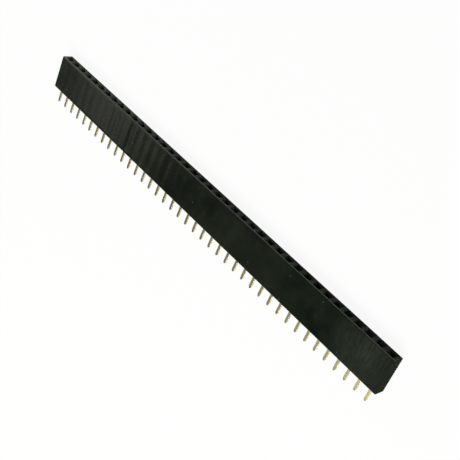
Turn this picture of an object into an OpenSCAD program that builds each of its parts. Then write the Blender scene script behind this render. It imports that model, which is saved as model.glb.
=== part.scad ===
// Single-row female pin header: a moulded insulator with one stamped spring contact in each cell.
// The strip lies on one of its long sides, as it comes to rest on a table: +X runs along the row,
// +Y points out of the mating face, the solder tails point along -Y, and +Z is up.
// The origin is the middle of the long side that it rests on.

/* [Row] */
// Number of contacts in the row
contact_count = 40; // [2:2:40]
// Distance from one contact to the next
pitch = 2.54; // [2.3:0.02:3.96]
// Plastic past the outer cells, at each end of the row
end_margin = 0.2; // [0.05:0.05:1]

/* [Housing] */
// Height from the board seat to the mating face
housing_h = 7.5; // [6.5:0.1:11]
// Thickness across the row
housing_t = 2.5; // [2.3:0.05:3.2]
// Thickness of each long wall beside the chambers
side_wall = 0.5; // [0.3:0.05:0.6]
// Thickness of the plastic between two neighbouring chambers
partition_t = 0.74; // [0.5:0.02:0.9]
// Thickness of the roof over the chambers, which holds the sockets
roof_t = 1.2; // [0.8:0.1:1.6]
// Chamfer along the four long edges
edge_chamfer = 0.2; // [0.05:0.01:0.3]

/* [Sockets] */
// Side of the square hole that a mating pin passes through
hole_side = 0.9; // [0.75:0.01:1.1]
// Side of the square funnel at the mating face
funnel_side = 1.6; // [1.2:0.02:1.66]
// Depth of the funnel
funnel_depth = 0.55; // [0.2:0.05:0.7]

/* [Solder tail] */
// Thickness of the strip that the contact is stamped from
strip_t = 0.25; // [0.15:0.01:0.3]
// Width of the tail along the row
tail_w = 0.6; // [0.4:0.02:0.7]
// Length of the tail beyond the board seat
tail_l = 3.1; // [2:0.1:4]
// Length of the tapered tip
tip_l = 0.5; // [0.2:0.05:1]
// Width of the tip at its end
tip_w = 0.24; // [0.1:0.02:0.3]

/* [Contact in the chamber] */
// Height of the straight neck between the board seat and the jog
neck_l = 0.3; // [0.1:0.05:0.5]
// Height over which the strip jogs to the back of the chamber
jog_l = 0.6; // [0.4:0.05:0.8]
// Height of the flat shoulder that carries the barbs
shoulder_l = 0.9; // [0.6:0.05:1.1]
// Height of one barb, which bites into the side walls of the chamber
barb_l = 0.5; // [0.2:0.05:0.55]
// Height of the U-shaped channel
channel_l = 1.2; // [0.8:0.1:1.4]
// Clearance between the channel and the side walls of the chamber
channel_gap = 0.1; // [0.05:0.01:0.15]
// Clearance between the contact and the back of the chamber
back_gap = 0.05; // [0.02:0.01:0.1]
// Clearance between the channel and the front of the chamber
front_gap = 0.2; // [0.1:0.02:0.4]
// Radius of the channel's two folds, along the middle of the strip
fold_r = 0.2; // [0.18:0.01:0.3]

/* [Spring petals] */
// Gap between the two petals where they grip a pin
grip_gap = 0.45; // [0.3:0.01:0.55]
// Height of the flare above the grip
flare_l = 0.9; // [0.5:0.05:1.1]
// Gap between the two petals at their open ends
flare_gap = 0.95; // [0.8:0.01:1.05]
// Width of each petal where it grips
petal_w = 0.7; // [0.4:0.02:0.8]
// Clearance between the petals' ends and the roof of the chamber
roof_gap = 0.2; // [0.1:0.05:0.4]

/* [Hidden] */
housing_l = contact_count * pitch + 2 * end_margin;
chamber_w = pitch - partition_t;
chamber_t = housing_t - 2 * side_wall;
chamber_h = housing_h - roof_t;
// Cutting solids pass through an open face by this much.
overcut = 1;

// Heights above the board seat, from the tail up
jog_z = neck_l;
shoulder_z = jog_z + jog_l;
channel_z = shoulder_z + shoulder_l;
petal_z = channel_z + channel_l;
petal_top_z = chamber_h - roof_gap;
grip_z = petal_top_z - flare_l;
// Depths across the strip, from the middle of its thickness towards the resting side
back_y = chamber_t / 2 - back_gap - strip_t / 2;
front_y = front_gap - chamber_t / 2;
// Distances along the row, from the contact's own axis
channel_x = chamber_w / 2 - channel_gap - strip_t / 2;
grip_x = (grip_gap + strip_t) / 2;
flare_x = (flare_gap + strip_t) / 2;
// A barb keeps its full width over this much of its height, then slopes in.
barb_land = barb_l / 3;
// Straight pieces in each rounded or bent stretch of the contact
tip_steps = 3;
fold_steps = 3;
petal_steps = 5;
flare_steps = 3;

housing_colour = [0.13, 0.15, 0.125];
contact_colour = [0.72, 0.66, 0.42];

function contact_name(i) = str("contact_", i < 10 ? "0" : "", i);
function contact_x(i) = (i - (contact_count + 1) / 2) * pitch;

// Bent strip: its middle follows a path, and each corner is mitred so that the thickness holds.
function square_to(path, k) =
    let (d = path[k + 1] - path[k]) [-d[1], d[0]] / norm(d);
function mitre(path, i) =
    let (a = square_to(path, max(i - 1, 0)), b = square_to(path, min(i, len(path) - 2)))
        (a + b) / (1 + a * b);
function strip_side(path, offset) =
    [for (i = [0:len(path) - 1]) path[i] + offset * mitre(path, i)];
function reversed(list) = [for (i = [len(list) - 1:-1:0]) list[i]];
// One half of a symmetrical path, followed by the other half.
function mirrored(half) = concat(half, [for (p = reversed(half)) [-p[0], p[1]]]);
function bent_strip(path, t) = concat(strip_side(path, t / 2), reversed(strip_side(path, -t / 2)));
// Curves from 0 to 1: one leaves and arrives slowly, one only leaves slowly, one only arrives slowly.
function eased(u) = (1 - cos(180 * u)) / 2;
function leaving(u) = 1 - cos(90 * u);
function arriving(u) = sin(90 * u);

// Everything is built upright on the board seat, with Z towards the mating face, then laid down.
module laid_down() {
    translate([0, -housing_h / 2, housing_t / 2])
        rotate([-90, 0, 0])
            children();
}

// Extrudes a profile drawn in (Y, Z) along the row, centred on the middle.
module along_row(length) {
    rotate([90, 0, 90])
        linear_extrude(length, center = true)
            children();
}

// Extrudes a profile drawn in (X, Z) across the strip, centred on the middle.
module across_row(width) {
    rotate([90, 0, 0])
        linear_extrude(width, center = true)
            children();
}

module housing_profile() {
    y = housing_t / 2;
    c = edge_chamfer;
    polygon([
        [-y + c, 0],
        [y - c, 0],
        [y, c],
        [y, housing_h - c],
        [y - c, housing_h],
        [-y + c, housing_h],
        [-y, housing_h - c],
        [-y, c],
    ]);
}

module chamber() {
    translate([-chamber_w / 2, -chamber_t / 2, -overcut])
        cube([chamber_w, chamber_t, chamber_h + overcut]);
}

// One side of the funnel, continued past the mating face at the same slope.
module funnel_profile() {
    slope = (funnel_side - hole_side) / 2 / funnel_depth;
    mouth = funnel_side / 2 + slope * overcut;
    throat_z = housing_h - funnel_depth;
    polygon([
        [-hole_side / 2, chamber_h - overcut],
        [hole_side / 2, chamber_h - overcut],
        [hole_side / 2, throat_z],
        [mouth, housing_h + overcut],
        [-mouth, housing_h + overcut],
        [-hole_side / 2, throat_z],
    ]);
}

module socket_hole() {
    intersection() {
        along_row(pitch) funnel_profile();
        across_row(housing_t + overcut) funnel_profile();
    }
}

module housing() {
    color(housing_colour)
        laid_down()
            difference() {
                along_row(housing_l) housing_profile();
                for (i = [1:contact_count])
                    translate([contact_x(i), 0, 0]) {
                        chamber();
                        socket_hole();
                    }
            }
}

// The flat blank from the tail's rounded tip to the shoulder, seen from the front.
module blank_outline() {
    tip = [for (k = [0:tip_steps]) let (u = k / tip_steps)
        [(tip_w + (tail_w - tip_w) * arriving(u)) / 2, -tail_l + tip_l * leaving(u)]];
    body = [
        [tail_w / 2, shoulder_z],
        [chamber_w / 2, shoulder_z],
        [chamber_w / 2, shoulder_z + barb_land],
        [channel_x + strip_t / 2, shoulder_z + barb_l],
        [channel_x + strip_t / 2, channel_z],
        [channel_x - fold_r, channel_z],
        [channel_x - fold_r, petal_z],
    ];
    polygon(mirrored(concat(tip, body)));
}

// The same strip seen from the side, with its jog to the back of the chamber.
module blank_profile() {
    polygon(bent_strip([[0, -tail_l], [0, jog_z], [back_y, shoulder_z], [back_y, petal_z]], strip_t));
}

module tail_and_shoulder() {
    intersection() {
        across_row(chamber_t) blank_outline();
        along_row(chamber_w) blank_profile();
    }
}

// The channel's section: a base at the back of the chamber, two folds and two side walls.
module channel() {
    corner = [channel_x - fold_r, back_y - fold_r];
    fold = [for (k = [0:fold_steps]) let (a = 90 * k / fold_steps) corner + fold_r * [cos(a), sin(a)]];
    translate([0, 0, channel_z])
        linear_extrude(channel_l)
            polygon(bent_strip(mirrored(concat([[channel_x, front_y]], fold)), strip_t));
}

// One spring petal, seen from the front: it leans in to the grip, then flares out.
function petal_path() = concat(
    [[channel_x, channel_z]],
    [for (k = [0:petal_steps]) let (u = k / petal_steps)
        [channel_x + (grip_x - channel_x) * eased(u), petal_z + (grip_z - petal_z) * u]],
    [for (k = [1:flare_steps]) let (u = k / flare_steps)
        [grip_x + (flare_x - grip_x) * leaving(u), grip_z + flare_l * u]]
);

// The petal's outline seen from the side, which narrows from the channel to the grip.
module petal_outline() {
    root = back_y - fold_r;
    polygon([
        [front_y, channel_z],
        [root, channel_z],
        [root, petal_z],
        [petal_w / 2, grip_z],
        [petal_w / 2, petal_top_z + overcut],
        [-petal_w / 2, petal_top_z + overcut],
        [-petal_w / 2, grip_z],
        [front_y, petal_z],
    ]);
}

module petal() {
    intersection() {
        across_row(chamber_t) polygon(bent_strip(petal_path(), strip_t));
        along_row(chamber_w) petal_outline();
    }
}

module contact(i) {
    color(contact_colour)
        laid_down()
            translate([contact_x(i), 0, 0]) {
                tail_and_shoulder();
                channel();
                petal();
                mirror([1, 0, 0]) petal();
            }
}

housing();
for (i = [1:contact_count])
    contact(i);
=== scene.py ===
# %% [markdown]
# # A female pin header strip
#
# A socket strip joins two circuit boards. Its black moulding holds one spring contact in each cell:
# a square pin goes in at the mating face, and a thin tail is soldered into the board below.
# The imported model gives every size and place, so this lesson starts by loading it. All lengths in
# Blender are metres, and the object is small, so most sizes here are written in millimetres.

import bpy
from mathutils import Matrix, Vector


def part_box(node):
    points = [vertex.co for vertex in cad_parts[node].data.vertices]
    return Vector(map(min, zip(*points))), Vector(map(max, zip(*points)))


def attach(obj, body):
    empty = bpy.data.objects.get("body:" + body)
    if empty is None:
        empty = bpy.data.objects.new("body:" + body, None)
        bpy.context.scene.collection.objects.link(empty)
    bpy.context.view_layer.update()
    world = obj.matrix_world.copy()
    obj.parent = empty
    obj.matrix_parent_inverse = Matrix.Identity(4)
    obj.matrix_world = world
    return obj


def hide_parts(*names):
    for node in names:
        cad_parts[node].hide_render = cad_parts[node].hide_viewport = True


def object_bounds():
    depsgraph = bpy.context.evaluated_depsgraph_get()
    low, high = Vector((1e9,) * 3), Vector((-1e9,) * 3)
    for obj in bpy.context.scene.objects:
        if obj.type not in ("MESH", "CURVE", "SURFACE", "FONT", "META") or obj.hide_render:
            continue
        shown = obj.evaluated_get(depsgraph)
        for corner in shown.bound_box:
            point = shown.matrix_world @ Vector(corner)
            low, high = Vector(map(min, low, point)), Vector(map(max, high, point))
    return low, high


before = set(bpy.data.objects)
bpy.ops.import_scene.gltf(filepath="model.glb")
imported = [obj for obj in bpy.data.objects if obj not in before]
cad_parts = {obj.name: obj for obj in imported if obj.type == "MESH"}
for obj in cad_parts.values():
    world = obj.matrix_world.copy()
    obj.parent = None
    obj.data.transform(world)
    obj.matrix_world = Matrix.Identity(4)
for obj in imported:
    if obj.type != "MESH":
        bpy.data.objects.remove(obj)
cad_low, cad_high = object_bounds()
print("the packed model measures", [round(1000 * side, 2) for side in cad_high - cad_low], "mm")

# %% [markdown]
# ## Sizes
#
# The moulding's box and the contacts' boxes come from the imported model. The walls and openings are
# the real ones of a 2.54 mm strip: thin side walls, a partition between neighbours, and a roof
# with a funnel that guides the pin in.

# %% The sizes that the moulding and the contacts share
import math
import random

import bmesh
import bpy
from mathutils import Matrix, Vector

MM = 0.001
contact_names = sorted(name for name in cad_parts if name.startswith("contact_"))


def middle_x(node):
    """Where a node lies along the row, in millimetres."""
    low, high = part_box(node)
    return (low.x + high.x) / 2 / MM


contact_x = {name: middle_x(name) for name in contact_names}
pitch = (contact_x[contact_names[-1]] - contact_x[contact_names[0]]) / (len(contact_names) - 1)
housing_low, housing_high = (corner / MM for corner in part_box("housing"))
tail_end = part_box(contact_names[0])[0].y / MM

seat_y, face_y = housing_low.y, housing_high.y
middle_z = (housing_low.z + housing_high.z) / 2
edge_radius = 0.2
side_wall = 0.5
partition = 0.74
roof = 1.2
mouth = 1.6
funnel_depth = 0.55
hole = 0.9
chamber_half_x = (pitch - partition) / 2
chamber_half_z = (housing_high.z - housing_low.z) / 2 - side_wall
roof_y = face_y - roof
print(len(contact_names), "contacts,", round(pitch, 3), "mm apart")
print("each chamber is", round(2 * chamber_half_x, 2), "mm wide along the row")

# %% [markdown]
# ## Two helpers
#
# Every mesh below is a list of points in millimetres and a list of faces, so one function turns
# them into an object. It also gives the object its place in the model: what it replaces and the
# body that it rides on. The other function rounds a piece's edges with a modifier, because no real
# edge is perfectly sharp and a round one catches the light.

# %% Turn points and faces into a piece of the model


def make_piece(name, points, faces, node, merge=0.0):
    """Builds a mesh object in place of a CAD node. merge joins points closer than that, in mm."""
    mesh = bpy.data.meshes.new(name)
    shape = bmesh.new()
    corners = [shape.verts.new(Vector(p) * MM) for p in points]
    for face in faces:
        shape.faces.new([corners[i] for i in face])
    if merge:
        bmesh.ops.remove_doubles(shape, verts=shape.verts, dist=merge * MM)
    bmesh.ops.recalc_face_normals(shape, faces=shape.faces)
    shape.to_mesh(mesh)
    shape.free()
    piece = bpy.data.objects.new(name, mesh)
    bpy.context.scene.collection.objects.link(piece)
    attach(piece, "root")
    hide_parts(node)
    return piece


# %% Round a piece's edges


def round_edges(piece, radius, angle):
    """Rounds every edge sharper than angle, in degrees, and shades what is gentler as smooth."""
    bevel = piece.modifiers.new("rounded edges", "BEVEL")
    bevel.width = radius * MM
    bevel.segments = 2
    bevel.limit_method = "ANGLE"
    bevel.angle_limit = math.radians(angle)
    bevel.harden_normals = True
    piece.data.shade_smooth()
    piece.data.set_sharp_from_angle(angle=math.radians(angle))


# %% [markdown]
# ## The moulding's skin
#
# The insulator is moulded in one shot of glass-filled polyester. As it cools, the thick plastic at
# each partition shrinks more than the thin walls over the chambers, so both long sides get a row
# of shallow sink marks, one at each partition. They are only some hundredths of a millimetre
# deep, but they bend the reflection of a lamp, and that is how one sees them. The plastic enters
# the mould near the first contact, where more of it is pressed in before it sets, so the marks are
# faint there and grow along the row.
#
# A boolean cut would leave long thin triangles that spoil such a reflection. So the skin is made
# as a grid instead: lines along the row, lines across it, and each point pushed in by the
# depth of the sink mark. The grid's lines are placed so that the sockets' edges lie on them.

# %% The lines that run along the row
long_side_rows = 14
corner_steps = 4


def corner_arc(y, z, start):
    """A quarter turn of the rounded long edge, around its centre."""
    turns = [math.radians(start - 90 * k / corner_steps) for k in range(1, corner_steps)]
    return [(y + edge_radius * math.cos(a), z + edge_radius * math.sin(a)) for a in turns]


def spaced(start, end, count):
    """count + 1 numbers from start to end."""
    return [start + (end - start) * k / count for k in range(count + 1)]


inner_y = (seat_y + edge_radius, face_y - edge_radius)
inner_z = (housing_low.z + edge_radius, housing_high.z - edge_radius)
top_rows = [(y, housing_high.z) for y in spaced(*inner_y, long_side_rows)]
base_rows = [(y, housing_low.z) for y in spaced(*reversed(inner_y), long_side_rows)]
mouth_z = (middle_z - mouth / 2, middle_z + mouth / 2)
chamber_z = (middle_z - chamber_half_z, middle_z + chamber_half_z)
face_rows = [(face_y, z) for z in (inner_z[1], mouth_z[1], mouth_z[0], inner_z[0])]
seat_rows = [(seat_y, z) for z in (inner_z[0], chamber_z[0], chamber_z[1], inner_z[1])]
profile = (
    top_rows
    + corner_arc(inner_y[1], inner_z[1], 90)
    + face_rows
    + corner_arc(inner_y[1], inner_z[0], 0)
    + base_rows
    + corner_arc(inner_y[0], inner_z[0], 270)
    + seat_rows
    + corner_arc(inner_y[0], inner_z[1], 180)
)
print(len(profile), "lines run along the row")

# %% The lines that run across the row
mouth_steps = 6
mouth_columns = spaced(-mouth / 2, mouth / 2, mouth_steps)
before_mouth = [-(chamber_half_x + pitch / 2) / 2, -chamber_half_x]
after_mouth = [chamber_half_x, (chamber_half_x + pitch / 2) / 2, pitch / 2]
cell_columns = before_mouth + mouth_columns + after_mouth
end_columns = [housing_low.x, contact_x[contact_names[0]] - pitch / 2]
columns = list(end_columns)
for name in contact_names:
    columns += [contact_x[name] + x for x in cell_columns]
columns.append(housing_high.x)
print(len(columns), "lines run across it")

# %% Where the plastic has sunk


def fade(distance, width):
    """0 at an edge, rising smoothly to 1 at the given width from it."""
    t = min(max(distance / width, 0), 1)
    return t * t * (3 - 2 * t)


sink_depth = 0.034
sink_fade = 0.8
faintest_sink = 0.2
growth_start, growth_cells = 6, 4
chance = random.Random(40)
sink_sizes = []
for k in range(len(contact_names) + 1):
    size = faintest_sink + fade(k - growth_start, growth_cells)
    sink_sizes.append(size * chance.uniform(0.6, 1.15))


def sink(x, y):
    """How far a long side has sunk at one point, in millimetres."""
    cell = (x - contact_x[contact_names[0]]) / pitch + 0.5
    nearest = min(max(round(cell), 0), len(contact_names))
    wave = (1 + math.cos(2 * math.pi * cell)) / 2
    ends = fade(min(y - inner_y[0], inner_y[1] - y), sink_fade)
    return sink_depth * sink_sizes[nearest] * wave * ends


def skin_point(x, y, z):
    """A point of the skin. Only the two long sides sink."""
    if not inner_y[0] <= y <= inner_y[1]:
        return (x, y, z)
    inwards = -1 if z > middle_z else 1
    return (x, y, z + inwards * sink(x, y))


skin = [skin_point(x, y, z) for x in columns for y, z in profile]
print("the deepest sink mark is", round(1000 * sink_depth * max(sink_sizes)), "micrometres")

# %% [markdown]
# ## The sockets
#
# Behind each square mouth, a funnel narrows to the hole that the pin slides through, and behind
# the roof lies the chamber that holds the contact. The chamber is open towards the board,
# because that is how the contact is pushed in. Each socket is a stack of rectangular rings that
# are joined like the hoops of a barrel. The roof's underside is the one odd place, where a
# ring of few points meets a ring of more, so its corners get a triangle each.

# %% The rings of one socket, and the faces between them
per_column = len(profile)
mouth_top, mouth_base = profile.index(face_rows[1]), profile.index(face_rows[2])
seat_base, seat_top = profile.index(seat_rows[1]), profile.index(seat_rows[2])
chamber_columns = [-chamber_half_x] + mouth_columns + [chamber_half_x]


def skin_ring(first, last, top, base):
    """The skin's own points round an opening: along its upper edge, then back along its lower one."""
    upper = [j * per_column + top for j in range(first, last + 1)]
    lower = [j * per_column + base for j in range(last, first - 1, -1)]
    return upper + lower


def add_ring(points, x, fractions, half_x, half_z, y):
    """Adds a rectangular ring's points and returns their numbers."""
    start = len(points)
    points += [(x + f * half_x, y, middle_z + half_z) for f in fractions]
    points += [(x + f * half_x, y, middle_z - half_z) for f in reversed(fractions)]
    return list(range(start, len(points)))


def join_rings(faces, one, other):
    """Joins two rings that have as many points as each other."""
    for k in range(len(one)):
        after = (k + 1) % len(one)
        faces.append((one[k], one[after], other[after], other[k]))


def join_roof(faces, small, large):
    """Joins the hole's ring to the chamber's, which has one more column at each end."""
    half = len(small) // 2
    for s, big in ((small[:half], large[: half + 2]), (small[half:], large[half + 2:])):
        faces.append((big[0], big[1], s[0]))
        for k in range(half - 1):
            faces.append((big[k + 1], big[k + 2], s[k + 1], s[k]))
        faces.append((big[half], big[half + 1], s[-1]))
    faces.append((large[half + 1], large[half + 2], small[half], small[half - 1]))
    faces.append((large[-1], large[0], small[0], small[-1]))


# %% Build the moulding
points = list(skin)
faces = []
openings = set()
in_mouth = [c / (mouth / 2) for c in mouth_columns]
in_chamber = [c / chamber_half_x for c in chamber_columns]
first_column = len(end_columns)
for name in contact_names:
    x = contact_x[name]
    mouth_first = first_column + len(before_mouth)
    mouth_last = mouth_first + mouth_steps
    chamber_first, chamber_last = mouth_first - 1, mouth_last + 1
    openings |= {(j, mouth_top) for j in range(mouth_first, mouth_last)}
    openings |= {(j, seat_base) for j in range(chamber_first, chamber_last)}
    rim = skin_ring(mouth_first, mouth_last, mouth_top, mouth_base)
    throat = add_ring(points, x, in_mouth, hole / 2, hole / 2, face_y - funnel_depth)
    hole_end = add_ring(points, x, in_mouth, hole / 2, hole / 2, roof_y)
    chamber_top = add_ring(points, x, in_chamber, chamber_half_x, chamber_half_z, roof_y)
    chamber_rim = skin_ring(chamber_first, chamber_last, seat_top, seat_base)
    join_rings(faces, rim, throat)
    join_rings(faces, throat, hole_end)
    join_roof(faces, hole_end, chamber_top)
    join_rings(faces, chamber_top, chamber_rim)
    first_column += len(cell_columns)
for j in range(len(columns) - 1):
    for i in range(per_column):
        if (j, i) not in openings:
            after = (i + 1) % per_column
            near, far = j * per_column, (j + 1) * per_column
            faces.append((near + i, near + after, far + after, far + i))
last = (len(columns) - 1) * per_column
faces.append(tuple(range(per_column)))
faces.append(tuple(range(last, last + per_column)))
housing = make_piece("housing_moulding", points, faces, "housing")
round_edges(housing, radius=0.03, angle=35)
print("the moulding has", len(faces), "faces before its edges are rounded")

# %% [markdown]
# ## The contacts
#
# Each contact is stamped from a thin bronze strip and folded: a tail, a jog that brings the strip
# to the back wall of the chamber, a shoulder with two barbs that bite into the plastic, a U-shaped
# channel, and two petals that lean together to grip the pin. It is built upright here, so its
# heights are counted from the board seat and its other sizes from its own axis.
#
# Sheet metal is easiest to draw as a surface with no thickness, the middle of the strip, and the
# Solidify modifier then gives it the strip's thickness on both sides. Each stretch is a small grid
# whose edge points fall on its neighbour's, so merging close points joins them.

# %% Where the strip stands in its chamber
strip = 0.25
neck_top, shoulder_start, channel_start, channel_end = 0.3, 0.9, 1.8, 3.0
back_gap, front_gap, side_gap, roof_gap = 0.05, 0.2, 0.1, 0.2
back_depth, front_depth = chamber_half_z - back_gap - strip / 2, front_gap - chamber_half_z
channel_half = chamber_half_x - side_gap - strip / 2
tail_length = seat_y - tail_end
print("the strip is", strip, "mm thick, and the tails are", round(tail_length, 2), "mm long")

# %% The tail, the neck and the jog
tail_half, tip_half, tip_length = 0.3, 0.12, 0.5
across_tail = (-1, -0.5, 0, 0.5, 1)
tip_steps, tail_steps, jog_steps = 5, 4, 8


def ease(t):
    """A smooth way from 0 to 1."""
    return (1 - math.cos(math.pi * t)) / 2


def depth_at(height):
    """How far behind the strip's middle plane the tail, neck and shoulder lie."""
    return back_depth * ease(min(max((height - neck_top) / (shoulder_start - neck_top), 0), 1))


def tail_width_at(height):
    """Half the width of the tail, which ends in a rounded, narrower tip."""
    t = min((height + tail_length) / tip_length, 1)
    return tip_half + (tail_half - tip_half) * math.sin(math.pi / 2 * t)


def tail_rows(lean):
    """The tail, the neck and the jog. lean moves the tip sideways, in millimetres."""
    turns = [math.pi / 2 * k / tip_steps for k in range(tip_steps + 1)]
    heights = [-tail_length + tip_length * (1 - math.cos(a)) for a in turns]
    heights += spaced(-tail_length + tip_length, neck_top, tail_steps)[1:]
    heights += spaced(neck_top, shoulder_start, jog_steps)[1:]
    rows = []
    for z in heights:
        shift = lean * min(z / -tail_length, 1) ** 2 if z < 0 else 0
        rows.append([(f * tail_width_at(z) + shift, depth_at(z), z) for f in across_tail])
    return rows


# %% The shoulder and the channel
barb_land, barb_end = 0.17, 0.5
fold_radius = 0.2
fold_steps, wall_steps = 4, 4
base_half = channel_half - fold_radius
base_columns = [-base_half, -tail_half, -tail_half / 2, 0, tail_half / 2, tail_half, base_half]
fold_end = back_depth - fold_radius


def shoulder_rows():
    """The flat shoulder. Its barbs keep their width for a while, then slope in."""
    wide, narrow = chamber_half_x, channel_half + strip / 2
    shoulder_end = channel_start - shoulder_start
    rows = []
    for z, half in ((0, wide), (barb_land, wide), (barb_end, narrow), (shoulder_end, narrow)):
        rows.append([(x, back_depth, shoulder_start + z) for x in [-half] + base_columns + [half]])
    return rows


def wing_section(side):
    """The fold and the side wall of the channel, as points across it: x and depth."""
    arc = [math.pi / 2 * (1 - k / fold_steps) for k in range(fold_steps + 1)]
    fold = [(base_half + fold_radius * math.cos(a), fold_end + fold_radius * math.sin(a)) for a in arc]
    wall = [(channel_half, d) for d in spaced(fold_end, front_depth, wall_steps)[1:]]
    return [(side * x, d) for x, d in fold + wall]


# %% The petals
petal_end = housing_high.y - roof - seat_y - roof_gap
flare_height, petal_corner = 0.9, 0.15
grip_height = petal_end - flare_height
grip_half, flare_half, petal_half_width = 0.35, 0.6, 0.35
closing_steps, flare_steps, petal_width_steps = 10, 7, 4
print("the petals grip a pin", round(grip_height, 2), "mm above the board seat")


def petal_x(height):
    """How far a petal stands from the contact's axis."""
    if height < grip_height:
        t = (height - channel_end) / (grip_height - channel_end)
        return channel_half + (grip_half - channel_half) * ease(t)
    t = (height - grip_height) / (petal_end - grip_height)
    return grip_half + (flare_half - grip_half) * (1 - math.cos(math.pi / 2 * t))


def petal_rows(side):
    """One petal, from the channel to the rounded end of its flare."""
    heights = spaced(channel_end, grip_height, closing_steps)
    heights += spaced(grip_height, petal_end, flare_steps)[1:]
    rows = []
    for z in heights:
        t = min((z - channel_end) / (grip_height - channel_end), 1)
        back = fold_end + (petal_half_width - fold_end) * t
        front = front_depth - (petal_half_width + front_depth) * t
        over = min(max(z - (petal_end - petal_corner), 0) / petal_corner, 1)
        trim = petal_corner * (1 - math.sqrt(1 - over * over))
        depths = spaced(back - trim, front + trim, petal_width_steps)
        rows.append([(side * petal_x(z), d, z) for d in depths])
    return rows


# %% Build the forty contacts


def grid(points, faces, rows):
    """Adds a grid of points, given row by row, and its faces."""
    start, width = len(points), len(rows[0])
    for row in rows:
        points += row
    for r in range(len(rows) - 1):
        for c in range(width - 1):
            corner = start + r * width + c
            faces.append((corner, corner + 1, corner + width + 1, corner + width))


lean_limit = 0.03
leans = random.Random(7)
fold_notch = 0.1  # the folds start this far above the shoulder
channel_middle = (channel_start + channel_end) / 2
channel_rows = [channel_start, channel_start + fold_notch, channel_middle, channel_end]
contacts = []
for name in contact_names:
    upright, faces = [], []
    grid(upright, faces, tail_rows(leans.uniform(-lean_limit, lean_limit)))
    grid(upright, faces, shoulder_rows())
    grid(upright, faces, [[(x, back_depth, z) for x in base_columns] for z in channel_rows])
    for side in (-1, 1):
        grid(upright, faces, [[(x, d, z) for x, d in wing_section(side)] for z in channel_rows[1:]])
        grid(upright, faces, petal_rows(side))
    laid = [(contact_x[name] + x, seat_y + z, middle_z - d) for x, d, z in upright]
    piece = make_piece(name + "_metal", laid, faces, name, merge=0.001)
    thickness = piece.modifiers.new("strip thickness", "SOLIDIFY")
    thickness.thickness = strip * MM
    thickness.offset = 0
    thickness.use_even_offset = True
    round_edges(piece, radius=0.04, angle=35)
    contacts.append(piece)
print(len(contacts), "contacts of", len(contacts[0].data.polygons), "faces each, without their thickness")

# %% [markdown]
# ## Colours and helpers for materials
#
# A colour is easiest to choose as an sRGB hex value, but the shader works with linear light, so one
# function turns the one into the other. A second one adds a shader node with its settings and
# links, which keeps each material's recipe down to a few readable lines, and a third one starts
# an empty material.

# %% Colour and node helpers


def colour(hex_value):
    """An sRGB hex colour as linear RGBA."""
    channels = [int(hex_value[k:k + 2], 16) / 255 for k in (1, 3, 5)]
    return [c / 12.92 if c <= 0.04045 else ((c + 0.055) / 1.055) ** 2.4 for c in channels] + [1]


def add_node(tree, kind, sockets=(), **settings):
    """Adds a node. settings are its own; sockets maps an input to a value or to another output."""
    node = tree.nodes.new(kind)
    for name, value in settings.items():
        setattr(node, name, value)
    for socket, value in dict(sockets).items():
        if isinstance(value, bpy.types.NodeSocket):
            tree.links.new(value, node.inputs[socket])
        else:
            node.inputs[socket].default_value = value
    return node


def new_material(name):
    """An empty node material and its tree."""
    material = bpy.data.materials.new(name)
    material.use_nodes = True
    material.node_tree.nodes.clear()
    return material, material.node_tree


# %% [markdown]
# ## Glass-filled PBT
#
# The moulding is polybutylene terephthalate with about a third of short glass fibres, coloured with
# carbon black. To the eye it is a near-black with a hint of green and a satin, slightly uneven
# gloss. Its IOR is about 1.57, and a polished mould leaves a roughness of 0.14 to 0.2, smooth
# enough for the sink marks to show. Noise makes the surface live: a fine grain for the mould's
# texture, streaks where the fibres flowed across the strip, cloudy patches in colour and gloss,
# a hazy patch on the upper side where it has been handled, and some dust.
#
# The two ends look different, because the strip was cut from a longer one. The cut tore the
# fibres open, so the ends are coarse and paler, with almost no gloss. The sharp edges wear to the
# same finish, so the modifier that rounds them gives its new faces the coarse material.

# %% The patterns on the moulding
CLOUD_SIZE = 7 * MM
GRAIN_SIZE = 0.32 * MM  # the real grain is about 0.05 mm; it is drawn coarser so that it shows
STREAK_WIDTH, STREAK_LENGTH = 0.4 * MM, 1.6 * MM
DUST_SPACING, DUST_SIZE = 1.6 * MM, 0.16 * MM
CLEAN_SHARE = 0.55
HAZE_CENTRE = (46 * MM, 1 * MM, housing_high.z * MM)
HAZE_REACH = 8 * MM


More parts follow.
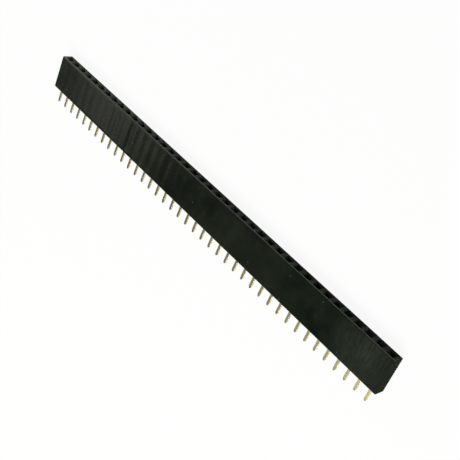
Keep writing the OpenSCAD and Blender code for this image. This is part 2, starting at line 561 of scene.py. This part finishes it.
def moulded_patterns(tree):
    """The cloudy patches, the dust, the haze and the fine relief, each as a number at every point."""
    coordinates = add_node(tree, "ShaderNodeTexCoord")
    place = coordinates.outputs["Object"]
    cloud = add_node(tree, "ShaderNodeTexNoise", {
        "Vector": place, "Scale": 1 / CLOUD_SIZE, "Detail": 6, "Roughness": 0.62})
    grain = add_node(tree, "ShaderNodeTexNoise", {"Vector": place, "Scale": 1 / GRAIN_SIZE, "Detail": 2})
    stretched = add_node(tree, "ShaderNodeMapping", {
        "Vector": place, "Scale": (1 / STREAK_WIDTH, 1 / STREAK_LENGTH, 1 / STREAK_WIDTH)})
    streaks = add_node(tree, "ShaderNodeTexNoise", {
        "Vector": stretched.outputs[0], "Scale": 1, "Detail": 2})
    cells = add_node(tree, "ShaderNodeTexVoronoi", {"Vector": place, "Scale": 1 / DUST_SPACING})
    speck = add_node(tree, "ShaderNodeMapRange", {
        "Value": cells.outputs["Distance"], "From Min": DUST_SIZE / DUST_SPACING, "From Max": 0,
        "To Max": 0.22})
    chosen = add_node(tree, "ShaderNodeSeparateColor", {"Color": cells.outputs["Color"]})
    dusty = add_node(tree, "ShaderNodeMath", {
        0: chosen.outputs[0], 1: CLEAN_SHARE}, operation="GREATER_THAN")
    dust = add_node(tree, "ShaderNodeMath", {
        0: speck.outputs[0], 1: dusty.outputs[0]}, operation="MULTIPLY")
    from_haze = add_node(tree, "ShaderNodeVectorMath", {0: place, 1: HAZE_CENTRE}, operation="DISTANCE")
    near_haze = add_node(tree, "ShaderNodeMapRange", {
        "Value": from_haze.outputs["Value"], "From Min": HAZE_REACH, "From Max": 0})
    # The normal's Z is 1 on the upper side and 0 on the mating face, which stays clean.
    facing = add_node(tree, "ShaderNodeSeparateXYZ", {"Vector": coordinates.outputs["Normal"]})
    touched = add_node(tree, "ShaderNodeMath", {
        0: near_haze.outputs[0], 1: facing.outputs["Z"]}, operation="MULTIPLY", use_clamp=True)
    haze = add_node(tree, "ShaderNodeMath", {
        0: touched.outputs[0], 1: streaks.outputs["Fac"]}, operation="MULTIPLY")
    patches = add_node(tree, "ShaderNodeMapRange", {
        "Value": cloud.outputs["Fac"], "From Min": 0.3, "From Max": 0.7})
    relief = add_node(tree, "ShaderNodeMath", {
        0: grain.outputs["Fac"], 1: streaks.outputs["Fac"]}, operation="ADD")
    return patches.outputs[0], dust.outputs[0], haze.outputs[0], relief.outputs[0]


# %% The plastic that carries them
HAZE_COLOUR, DUST_COLOUR = colour("#3f433e"), colour("#b9bdb2")


def moulded_pbt(name, dark, pale, smoothest, roughest, specular):
    """Black PBT as one part of the mould leaves it. The gloss varies between the two roughnesses."""
    material, tree = new_material(name)
    patches, dust, haze, relief = moulded_patterns(tree)
    black = add_node(tree, "ShaderNodeMix", {
        "Factor": patches, "A": colour(dark), "B": colour(pale)}, data_type="RGBA")
    hazy = add_node(tree, "ShaderNodeMix", {
        "Factor": haze, "A": black.outputs["Result"], "B": HAZE_COLOUR}, data_type="RGBA")
    dusted = add_node(tree, "ShaderNodeMix", {
        "Factor": dust, "A": hazy.outputs["Result"], "B": DUST_COLOUR}, data_type="RGBA")
    roughness = add_node(tree, "ShaderNodeMapRange", {
        "Value": patches, "To Min": smoothest, "To Max": roughest})
    bump = add_node(tree, "ShaderNodeBump", {
        "Height": relief, "Strength": 0.6, "Distance": 0.01 * MM})
    surface = add_node(tree, "ShaderNodeBsdfPrincipled", {
        "Base Color": dusted.outputs["Result"], "Roughness": roughness.outputs[0],
        "Normal": bump.outputs[0], "IOR": 1.57, "Specular IOR Level": specular}, distribution="GGX")
    add_node(tree, "ShaderNodeOutputMaterial", {"Surface": surface.outputs[0]})
    return material


# %% Dress the moulding
housing.data.materials.append(moulded_pbt(
    "glass_filled_PBT_satin", "#0c100b", "#20251e", smoothest=0.14, roughest=0.2, specular=0.5))
housing.data.materials.append(moulded_pbt(
    "glass_filled_PBT_cut", "#191e15", "#22271e", smoothest=0.8, roughest=1, specular=0.05))
cut_slot = 1
cut_layer = 0.01  # faces this close to an end, in millimetres, are the cut
for polygon in housing.data.polygons:
    if abs(polygon.center.x) / MM > housing_high.x - cut_layer:
        polygon.material_index = cut_slot
housing.modifiers["rounded edges"].material = cut_slot
print("the moulding's finishes are", [material.name for material in housing.data.materials])

# %% [markdown]
# ## Gold flash over phosphor bronze
#
# The contacts are phosphor bronze with a gold coat well under a micrometre thick, which lets a
# little of the greenish nickel and bronze below show through. To the eye it is a pale khaki gold.
# It is bare metal, so it is fully metallic with the default IOR, and the rolled strip gives it
# a roughness near 0.4 with fine lines along the tail. The tips were cut last, so they are greyer.

# %% Make the contacts' material
ROLLING_WIDTH, ROLLING_LENGTH = 0.12 * MM, 2.5 * MM  # real rolling lines are finer than can be seen
TARNISH_SIZE = 4 * MM
GREY_END = 0.7  # how much of each tail turns grey, in millimetres

bronze, tree = new_material("gold_flash_phosphor_bronze")
place = add_node(tree, "ShaderNodeTexCoord").outputs["Object"]
tarnish = add_node(tree, "ShaderNodeTexNoise", {"Vector": place, "Scale": 1 / TARNISH_SIZE, "Detail": 3})
stretched = add_node(tree, "ShaderNodeMapping", {
    "Vector": place, "Scale": (1 / ROLLING_WIDTH, 1 / ROLLING_LENGTH, 1 / ROLLING_WIDTH)})
rolling = add_node(tree, "ShaderNodeTexNoise", {"Vector": stretched.outputs[0], "Scale": 1, "Detail": 2})
along = add_node(tree, "ShaderNodeSeparateXYZ", {"Vector": place})
cut_end = add_node(tree, "ShaderNodeMapRange", {
    "Value": along.outputs["Y"], "From Min": (tail_end + GREY_END) * MM, "From Max": tail_end * MM,
    "To Max": 0.8})
gold = add_node(tree, "ShaderNodeMix", {
    "Factor": tarnish.outputs["Fac"], "A": colour("#c8bc90"), "B": colour("#e0d4b0")}, data_type="RGBA")
tipped = add_node(tree, "ShaderNodeMix", {
    "Factor": cut_end.outputs[0], "A": gold.outputs["Result"], "B": colour("#9c9c8e")}, data_type="RGBA")
roughness = add_node(tree, "ShaderNodeMapRange", {
    "Value": rolling.outputs["Fac"], "To Min": 0.36, "To Max": 0.48})
bump = add_node(tree, "ShaderNodeBump", {
    "Height": rolling.outputs["Fac"], "Strength": 0.3, "Distance": 0.003 * MM})
surface = add_node(tree, "ShaderNodeBsdfPrincipled", {
    "Base Color": tipped.outputs["Result"], "Metallic": 1, "Roughness": roughness.outputs[0],
    "Normal": bump.outputs[0]})
add_node(tree, "ShaderNodeOutputMaterial", {"Surface": surface.outputs[0]})
for piece in contacts:
    piece.data.materials.append(bronze)
print(bronze.name, "covers", len(contacts), "contacts")

# %% [markdown]
# ## Floor and light
#
# Black plastic is seen by what it reflects, so the room matters more than its colour. A soft lamp
# past the tails gives the plain level. A long, low window stands past the first contact, where the
# upper long side mirrors it: that reflection is what makes the sink marks show. A pale screen stands
# close to the first contact, on the mating face's side, so the mating face is palest at that end.
# It lights the funnels there, and a dim patch of ceiling lights those in the middle. The rest of
# the room is dim, and paler low down.
#
# The paper and the room behind it are white to the camera and through anything clear. In mirrors
# they get only a little of that white. There the paper mostly shows its own shading, so the mating
# face, which mirrors the paper close by, shows the strip's own shadow.

# %% How white the background is


def white_share(tree, seen_share, mirrored_share):
    """How white a background turns: as it is seen, also through clear things, and in mirrors."""
    path = add_node(tree, "ShaderNodeLightPath")
    seen = add_node(tree, "ShaderNodeMath", {
        0: path.outputs["Is Camera Ray"], 1: path.outputs["Is Transmission Ray"]}, operation="MAXIMUM")
    direct = add_node(tree, "ShaderNodeMath", {0: seen.outputs[0], 1: seen_share}, operation="MULTIPLY")
    mirrored = add_node(tree, "ShaderNodeMath", {
        0: path.outputs["Is Glossy Ray"], 1: mirrored_share}, operation="MULTIPLY")
    share = add_node(tree, "ShaderNodeMath", {
        0: direct.outputs[0], 1: mirrored.outputs[0]}, operation="MAXIMUM")
    return share.outputs[0]


# %% The floor
FLOOR_SIZE = 8
FLOOR_GAP = 0.01 * MM

bpy.ops.mesh.primitive_plane_add(size=FLOOR_SIZE, location=(0, 0, cad_low.z - FLOOR_GAP))
floor = bpy.context.object
floor.name = "floor"
paper, tree = new_material("white_paper")
shaded = add_node(tree, "ShaderNodeBsdfDiffuse", {"Color": colour("#fbfbfb")})
white = add_node(tree, "ShaderNodeEmission", {"Strength": 1})
blend = add_node(tree, "ShaderNodeMixShader", {
    0: white_share(tree, seen_share=0.92, mirrored_share=0.05),
    1: shaded.outputs[0], 2: white.outputs[0]})
add_node(tree, "ShaderNodeOutputMaterial", {"Surface": blend.outputs[0]})
floor.data.materials.append(paper)
print("the floor lies", FLOOR_GAP / MM, "mm below the strip")

# %% The room
ROOM_COLOUR = colour("#f0faea")
ROOM_LOW, ROOM_HIGH = 0.39, 0.03
FADE_START, FADE_END = 0.3, 0.58  # the sines of the angles above the horizon

world = bpy.data.worlds.new("dim_room")
world.use_nodes = True
bpy.context.scene.world = world
tree = world.node_tree
tree.nodes.clear()
direction = add_node(tree, "ShaderNodeTexCoord")
upwards = add_node(tree, "ShaderNodeSeparateXYZ", {"Vector": direction.outputs["Generated"]})
level = add_node(tree, "ShaderNodeMapRange", {
    "Value": upwards.outputs["Z"], "From Min": FADE_START, "From Max": FADE_END,
    "To Min": ROOM_LOW, "To Max": ROOM_HIGH}, interpolation_type="SMOOTHSTEP")
room = add_node(tree, "ShaderNodeBackground", {"Color": ROOM_COLOUR, "Strength": level.outputs[0]})
white = add_node(tree, "ShaderNodeBackground", {"Color": colour("#ffffff"), "Strength": 1})
blend = add_node(tree, "ShaderNodeMixShader", {
    0: white_share(tree, seen_share=1, mirrored_share=0.02), 1: room.outputs[0], 2: white.outputs[0]})
add_node(tree, "ShaderNodeOutputWorld", {"Surface": blend.outputs[0]})
print("the room is", ROOM_LOW, "bright near the floor and", ROOM_HIGH, "overhead")

# %% The lamps


def add_soft_lamp(name, towards, distance, width, height, radiance, light=ROOM_COLOUR):
    """A flat lamp that faces the strip. radiance is how bright its own surface looks."""
    lamp = bpy.data.lights.new(name, "AREA")
    lamp.shape = "RECTANGLE"
    lamp.size, lamp.size_y = width, height
    lamp.energy = radiance * math.pi * width * height
    lamp.color = light[:3]
    holder = bpy.data.objects.new(name, lamp)
    back = Vector(towards).normalized()
    holder.location = back * distance
    holder.rotation_mode = "QUATERNION"
    holder.rotation_quaternion = back.to_track_quat("Z", "Y")
    bpy.context.scene.collection.objects.link(holder)


add_soft_lamp("main_lamp", (0.32, -0.63, 0.71), distance=0.6, width=0.4, height=0.26, radiance=14)
add_soft_lamp(
    "window", (-0.765, 0.03, 0.69), distance=0.5, width=0.5, height=0.055, radiance=0.67,
    light=colour("#fff6ec"))
add_soft_lamp("pale_screen", (-0.82, 0.38, 0.42), distance=0.17, width=0.16, height=0.1, radiance=0.9)
add_soft_lamp("ceiling", (-0.48, 0.46, 0.75), distance=0.48, width=0.18, height=0.12, radiance=0.27)
print("the main lamp, the window, the pale screen and the patch of ceiling are in place")

# %% [markdown]
# ## Camera
#
# The view is from above the last contact's end, over the mating face, so the row runs away across
# the picture. The camera is rolled about its own axis, which puts the strip on the diagonal.

# %% The camera
AIM = Vector((9.52, -0.41, 1.25)) * MM
DISTANCE = 163 * MM
AZIMUTH, ELEVATION, ROLL = math.radians(132.3), math.radians(44.79), math.radians(-98.97)

back = Vector((
    math.sin(AZIMUTH) * math.cos(ELEVATION),
    -math.cos(AZIMUTH) * math.cos(ELEVATION),
    math.sin(ELEVATION),
))
level_right = Vector((0, 0, 1)).cross(back).normalized()
level_up = back.cross(level_right)
up = math.cos(ROLL) * level_up - math.sin(ROLL) * level_right
camera = bpy.data.objects.new("camera", bpy.data.cameras.new("camera"))
camera.data.lens = 67.81
camera.data.clip_start, camera.data.clip_end = 0.01, 20
turn = Matrix((up.cross(back), up, back)).transposed().to_4x4()
camera.matrix_world = Matrix.Translation(AIM + back * DISTANCE) @ turn
bpy.context.scene.collection.objects.link(camera)
bpy.context.scene.camera = camera
bpy.context.scene.view_settings.view_transform = "Standard"
print("the camera stands", round(DISTANCE / MM, 1), "mm from the strip")
